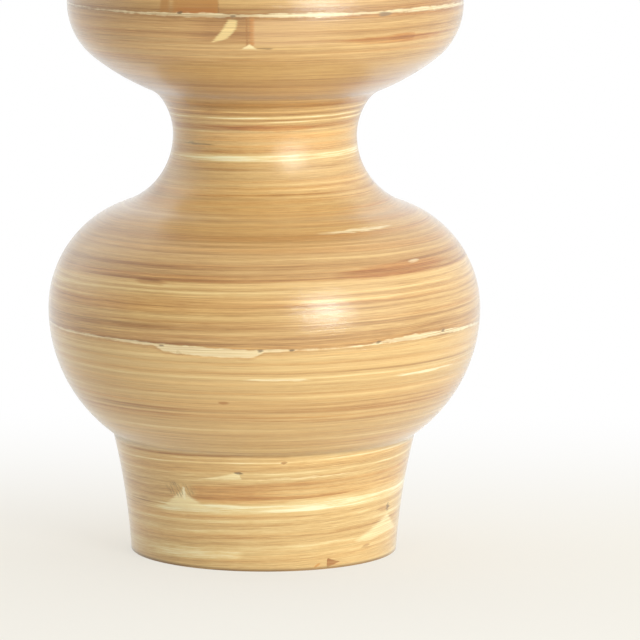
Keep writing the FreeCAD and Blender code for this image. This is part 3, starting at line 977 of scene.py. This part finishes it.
def mark_bowl(wall):
    """Below the lower joint: pale lines, and small dark flecks at the joint and lower."""
    seam(wall, LOWER_SEAM)
    wall.coat(Spot(wall, -0.0297, 91.9).oval(2.6, 0.9) * 0.8, RUST)
    wall.coat(Spot(wall, 0.140, 103.8, 0.02).oval(22.0, 0.7) * 0.9, CREAM)
    wall.coat(Spot(wall, 0.012, 104.4).oval(16.0, 0.5) * 0.7, CREAM)
    flecks(wall, ((-0.0735, 120.4), (-0.001, 119.6), (0.0215, 119.8)))


def flecks(wall, places):
    """Small dark flecks at these turns and heights."""
    for turn, height in places:
        wall.coat(Spot(wall, turn, height, 0.1).oval(1.5, 0.7) * 0.85, SOOT)


def lighten_turn(wall):
    """The golden stretch where the shoulder turns up into the waist."""
    turn = Spot(wall, 0.02, 184.0)
    wall.shade(turn.box(-70.0, 60.0, -7.0, 11.0, 5.0, (20.0, 20.0)), 0.11, 0.1)


def mark_shoulder(wall):
    """Above the lower joint: a rusty band on the right, pale and brown streaks, flecks."""
    seam(wall, LOWER_SEAM)
    wall.shade(Spot(wall, 0.118, 156.6, 0.035).oval(36.0, 3.0), -0.09, 0.7)
    wall.coat(Spot(wall, 0.1349, 159.2, 0.05).oval(4.5, 0.7) * 0.5, CREAM)
    wall.coat(Spot(wall, 0.097, 174.8, 0.025).oval(22.0, 0.6) * 0.75, CREAM)
    brown = Spot(wall, -0.10, 157.0)
    wall.shade(brown.box(-50.0, 45.0, -4.5, 3.5, 2.5, (20.0, 20.0)), -0.06, 0.2)
    wall.shade(Spot(wall, -0.088, 151.0).oval(9.0, 1.4), -0.2, 0.2)
    flecks(wall, ((0.087, 121.9), (0.151, 123.4)))
    lighten_turn(wall)


def mark_waist(wall):
    """The rusty line under the flare, a dark short line and a small fleck."""
    wall.shade(Spot(wall, 0.012, 223.6).oval(22.0, 1.6), -0.02, 0.7)
    wall.coat(Spot(wall, -0.125, 214.2).oval(11.0, 0.5) * 0.6, SOOT)
    wall.coat(Spot(wall, 0.0905, 187.3, 0.1).oval(2.0, 0.6) * 0.7, SOOT)
    golden = Spot(wall, 0.0, 217.0)
    wall.shade(golden.box(-40.0, 45.0, -5.0, 4.0, 2.0, (12.0, 12.0)), 0.02, 0.35)
    lighten_turn(wall)


def mark_belly(wall):
    """About the upper joint: a node in the strip below it, a brown end above it, and painted shade
    along the joint's top.
    """
    above = Spot(wall, -0.0351, 286.0, ragged=0.3)
    wall.coat(above.box(-24.0, 0.0, -0.8, 8.0, 0.35, (1.6, 0.3)) * 0.80, BROWN)
    wall.coat(above.box(-31.0, -26.0, -0.8, 8.0, 0.35, (1.0, 1.4)) * 0.80, DEEP_BROWN)
    wall.coat(above.box(-22.0, -1.0, -0.8, 1.8, 1.0, (2.5, 0.6)) * 0.45, RED_BROWN)
    # Painted shade: a thin dark olive line just above the upper joint stands for the shadow along
    # its top edge.
    wall.coat(Spot(wall, 0.006, 286.9, 0.03).oval(18.0, 0.6) * 0.45, PAINTED_SHADE_OLIVE)
    wall.shade(above.box(-8.0, 0.5, -1.0, 6.0, 1.0, (6.0, 0.3)), -0.16)
    seam(wall, UPPER_SEAM)
    brown = Spot(wall, -0.0093, 276.0)
    wall.shade(brown.box(-28.0, 0.0, -5.0, 6.5, 1.2, (9.0, 0.3)), -0.12, 0.15)
    pink = brown.box(1.0, 40.0, -6.5, 6.5, 1.0, (0.4, 22.0))
    wall.coat(pink * 0.40, PINK)
    lean = Spot(wall, -0.0322, 276.6, ragged=0.5)
    bent = lean.up * 0.78 - lean.up * lean.up * 0.055 + 2.7
    slanting = abs(lean.along - bent) + lean.up * lean.up * 0.03 - 3.2
    point = lean.up - lean.along * 0.23 + 4.4
    leaf = slanting.step(0.9, -0.9) * point.step(-0.5, 0.5)
    wall.coat(leaf * lean.box(-12.0, 12.0, -7.0, 5.8, 0.9) * 0.85, STRAW)
    line = Spot(wall, -0.0125, 276.6, ragged=0.3)
    worn = (wall.ragged * 0.8 + wall.fibres * 0.8 + 0.70).least(0.9).most(0.2)
    wall.coat(line.box(-0.5, 0.4, -7.0, 7.0, 0.35, (0.3, 0.3)) * worn, UMBER)
    wall.coat(line.box(1.4, 3.6, -7.0, 7.0, 0.5, (0.8, 0.8)) * worn * 0.85, COPPER)
    wall.coat(Spot(wall, -0.0103, 267.8, ragged=0.4).peak(-4.2, 3.2, 2.6, 0.8), PALE)
    wall.coat(Spot(wall, 0.001, 268.2).oval(4.0, 0.4) * 0.55, SOOT)
    wall.shade(Spot(wall, 0.120, 271.6, 0.012).oval(34.0, 2.0), -0.08, 0.7)
    streak = Spot(wall, 0.125, 272.4, 0.012)
    wall.shade(streak.box(-9.0, 7.0, -1.8, 1.8, 0.6, (5.0, 0.6)), -0.07, 0.6)
    wall.coat(Spot(wall, 0.1015, 284.4).oval(4.2, 1.2) * 0.85, SHADOW)
    wall.shade(Spot(wall, -0.0245, 284.0).oval(9.0, 1.6), -0.2)
    flecks(wall, ((-0.066, 285.4), (-0.0235, 284.2)))


# The surface of the bamboo under its lacquer, the lacquer's coat, and the fibres' pale sheen.
LACQUERED = {
    "Roughness": 0.45,
    "Specular IOR Level": 0.3,
    "Coat Weight": 1.0,
    "Coat Roughness": 0.13,
    "Sheen Weight": 0.4,
    "Sheen Roughness": 0.3,
}


def bamboo(material_name, lift=0.0, bands=(), mark=None, filler=False):
    """Wound bamboo, lacquered, with the front's bands and marks where they are given.

    lift makes it paler or darker, and filler carries the joint's filling round the back.
    """
    material, graph = new_material(material_name)
    wall = Wall(graph, lift)
    wall.join_strips()
    wall.add_nodes()
    if bands:
        wall.add_bands(bands)
    if filler:
        fleck = graph.noise(wall.place, scale=140.0)
        wall.coat(wall.front.flipped() * fleck.step(0.5, 0.2), CREAM)
    if mark:
        mark(wall)
    shader = graph.node("ShaderNodeBsdfPrincipled")
    graph.feed(shader.inputs["Base Color"], wall.colour())
    for name, value in LACQUERED.items():
        shader.inputs[name].default_value = value
    edge = wall.across.least(wall.across.flipped())
    height = wall.lines * 0.5 + wall.fibres * 0.25 - edge.step(0.03, 0.0) * 0.8
    bump = graph.bump(shader, height, 0.06 * MM)
    graph.feed(shader.inputs["Coat Normal"], bump.outputs["Normal"])
    graph.show(shader)
    return material


def dress():
    """Replace each ring of the CAD by a turned one, and paint the base."""
    materials = {
        "foot": bamboo("foot_bamboo", 0.02, FOOT_BANDS, mark_foot),
        "lower_bowl": bamboo("lower_bowl_bamboo", -0.05, BOWL_BANDS, mark_bowl),
        "lower_joint": bamboo("lower_filler", -0.05, BOWL_BANDS, mark_bowl, filler=True),
        "lower_shoulder": bamboo("shoulder_bamboo", -0.19, SHOULDER_BANDS, mark_shoulder),
        "waist": bamboo("waist_bamboo", -0.08, WAIST_BANDS + FLARE_BANDS, mark_waist),
        "upper_bowl": bamboo("upper_bowl_bamboo", -0.22, BELLY_BANDS, mark_belly),
        "upper_joint": bamboo("upper_filler", -0.22, BELLY_BANDS, mark_belly, filler=True),
        "upper_shoulder": bamboo("upper_shoulder_bamboo", -0.22, BELLY_BANDS, mark_belly),
        "neck": bamboo("neck_bamboo", -0.10),
    }
    marks = edges()
    pieces = {
        node: ring_piece(node, start, end) for node, start, end in zip(RINGS, marks, marks[1:])
    }
    pieces["mouth_rim"] = rim_piece()
    for node, piece in pieces.items():
        run = node.split("_strip_")[0]
        piece.data.materials.append(materials.get(run, materials["neck"]))
        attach(piece, "root")
        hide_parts(node)
    coil = coiled_bamboo()
    for name, node in frame["nodes"].items():
        if name.startswith("base_"):
            for slot in node.material_slots:
                slot.material = coil


# The width of a strip in the base's coil, in millimetres.
COIL_PITCH = 3.2


def coiled_bamboo():
    """The flat coil that closes the foot, its strips wound in a spiral round the eye."""
    material, graph = new_material("coiled_bamboo")
    place, (x, y, z) = graph.place()
    turn = graph.math("ARCTAN2", x, y * -1.0) / (2 * math.pi)
    radius = graph.math("SQRT", x * x + y * y)
    strips = radius / COIL_PITCH - turn + graph.noise(place, detail=1.0, scale=20.0) * 0.1
    number = strips.floor()
    across, length = strips - number, number + turn
    grain = graph.noise(graph.vector(length * 14.0, across * 6.0, z * 0.4), detail=3.0)
    slow = graph.noise(graph.vector(length * 0.9, 0.0, 4.0), detail=1.0)
    edge = across.least(across.flipped())
    tone = grain * 0.20 + slow * 0.25 - edge.step(0.10, 0.02) * 0.35 + 0.46
    shader = graph.node("ShaderNodeBsdfPrincipled")
    graph.feed(shader.inputs["Base Color"], graph.colours(tone, PLAIN_STOPS))
    shader.inputs["Roughness"].default_value = 0.6
    graph.bump(shader, grain * 0.3 - edge.step(0.12, 0.0), 0.15 * MM)
    graph.show(shader)
    return material


# The floor: half its side and the depths between which it turns white, in metres, its paint,
# and the pale light that the camera and the gloss see on it, with the share of that light.
FLOOR_HALF = 12.0
FLOOR_WHITENS = (-0.05, 0.45)
FLOOR_PAINT = (0.80, 0.79, 0.77, 1.0)
FLOOR_GLOW = (0.905, 0.875, 0.81, 1.0)
FLOOR_GLOW_SHARE = 0.70
WHITE = (1.0, 1.0, 1.0)


def make_floor():
    """A pale floor that keeps the shadow in front and runs into the white backdrop behind."""
    mesh = bpy.data.meshes.new("floor")
    corners = [(-1, -1), (1, -1), (1, 1), (-1, 1)]
    mesh.from_pydata([(x * FLOOR_HALF, y * FLOOR_HALF, 0) for x, y in corners], [], [(0, 1, 2, 3)])
    floor = add_object("floor", mesh)
    material, graph = new_material("studio_floor")
    _, (_, depth, _) = graph.coordinates("Object")
    straight, gloss = graph.rays()
    seen = straight.most(gloss)
    paint = graph.node("ShaderNodeBsdfDiffuse")
    paint.inputs["Color"].default_value = FLOOR_PAINT
    glow = graph.node("ShaderNodeEmission")
    glow.inputs["Color"].default_value = FLOOR_GLOW
    white = graph.node("ShaderNodeEmission")
    white.inputs["Color"].default_value = (*WHITE, 1.0)
    lit = graph.blend(seen * FLOOR_GLOW_SHARE, paint, glow)
    graph.show(graph.blend(depth.step(*FLOOR_WHITENS) * seen, lit, white))
    floor.data.materials.append(material)


# The lamps: azimuth from the front to the right and elevation in degrees, distance, width
# and height in metres, watts, and colour. They face a place on the axis at this height.
LAMPS = {
    "softbox": (33, 15, 1.6, 0.54, 0.68, 14, (0.96, 1, 0.98)),
    "window": (62, 15, 2.2, 1.5, 2.0, 10, (0.96, 1, 0.98)),
    "back": (-122, 32, 2.2, 1.4, 1.8, 4, (1, 1, 0.9)),
}
LAMP_AIM = Vector((0, 0, 0.17))


def make_lights():
    """Soft rectangular lamps that face the vase."""
    for name, (azimuth, elevation, distance, width, height, power, colour) in LAMPS.items():
        azimuth, elevation = math.radians(azimuth), math.radians(elevation)
        way = Vector((
            math.cos(elevation) * math.sin(azimuth),
            -math.cos(elevation) * math.cos(azimuth),
            math.sin(elevation),
        ))
        data = bpy.data.lights.new(name, "AREA")
        data.shape = "RECTANGLE"
        data.size = width
        data.size_y = height
        data.energy = power
        data.color = colour
        lamp = add_object(name, data)
        lamp.location = LAMP_AIM + way * distance
        lamp.rotation_euler = (-way).to_track_quat("-Z", "Y").to_euler()


WORLD_LIGHT = (1.0, 1.0, 0.93)


def make_world():
    """White to look at, and in the gloss wherever the backdrop stands, behind and beside.

    As a light it is a little warm, and brightest behind, on the right and overhead.
    """
    world = bpy.data.worlds.new("studio")
    bpy.context.scene.world = world
    world.use_nodes = True
    graph = Graph(world.node_tree)
    straight, gloss = graph.rays()
    _, (x, y, z) = graph.coordinates("Generated")
    glow = x.step(-0.7, 0.9) * 0.34 + y.step(0.0, 0.7) * 0.72 + z.step(0.2, 1.0) * 0.45 + 0.26
    seen = straight.most(gloss * y.step(-0.45, 0.1))
    background = graph.node("ShaderNodeBackground")
    graph.feed(background.inputs["Color"], graph.mix(seen, WORLD_LIGHT, WHITE))
    graph.feed(background.inputs["Strength"], seen + seen.flipped() * glow)
    graph.show(background, "ShaderNodeOutputWorld")


# The camera, fitted to the photograph's outline: the place it looks at and its distance in
# metres, how far it looks down and rolls in degrees, its lens and sensor in millimetres, and
# how far it sees in metres.
CAMERA_AIM = Vector((28.8 * MM, 0, 119.25 * MM))
CAMERA_DISTANCE = 2438 * MM
CAMERA_PITCH = 8.10
CAMERA_ROLL = 0.27
CAMERA_LENS = 264.69
CAMERA_SENSOR = 36
CAMERA_REACH = 50


def make_camera():
    """The photograph's view: a long lens, a little above the vase, a little to its right."""
    pitch = math.radians(CAMERA_PITCH)
    data = bpy.data.cameras.new("camera")
    data.sensor_width = CAMERA_SENSOR
    data.lens = CAMERA_LENS
    data.clip_end = CAMERA_REACH
    camera = add_object("camera", data)
    forward = Vector((0, math.cos(pitch), -math.sin(pitch)))
    camera.matrix_world = (
        Matrix.Translation(CAMERA_AIM - forward * CAMERA_DISTANCE)
        @ Matrix.Rotation(math.pi / 2 - pitch, 4, "X")
        @ Matrix.Rotation(math.radians(CAMERA_ROLL), 4, "Z")
    )
    bpy.context.scene.camera = camera


dress()
make_floor()
make_lights()
make_world()
make_camera()
bpy.context.scene.view_settings.view_transform = "Standard"
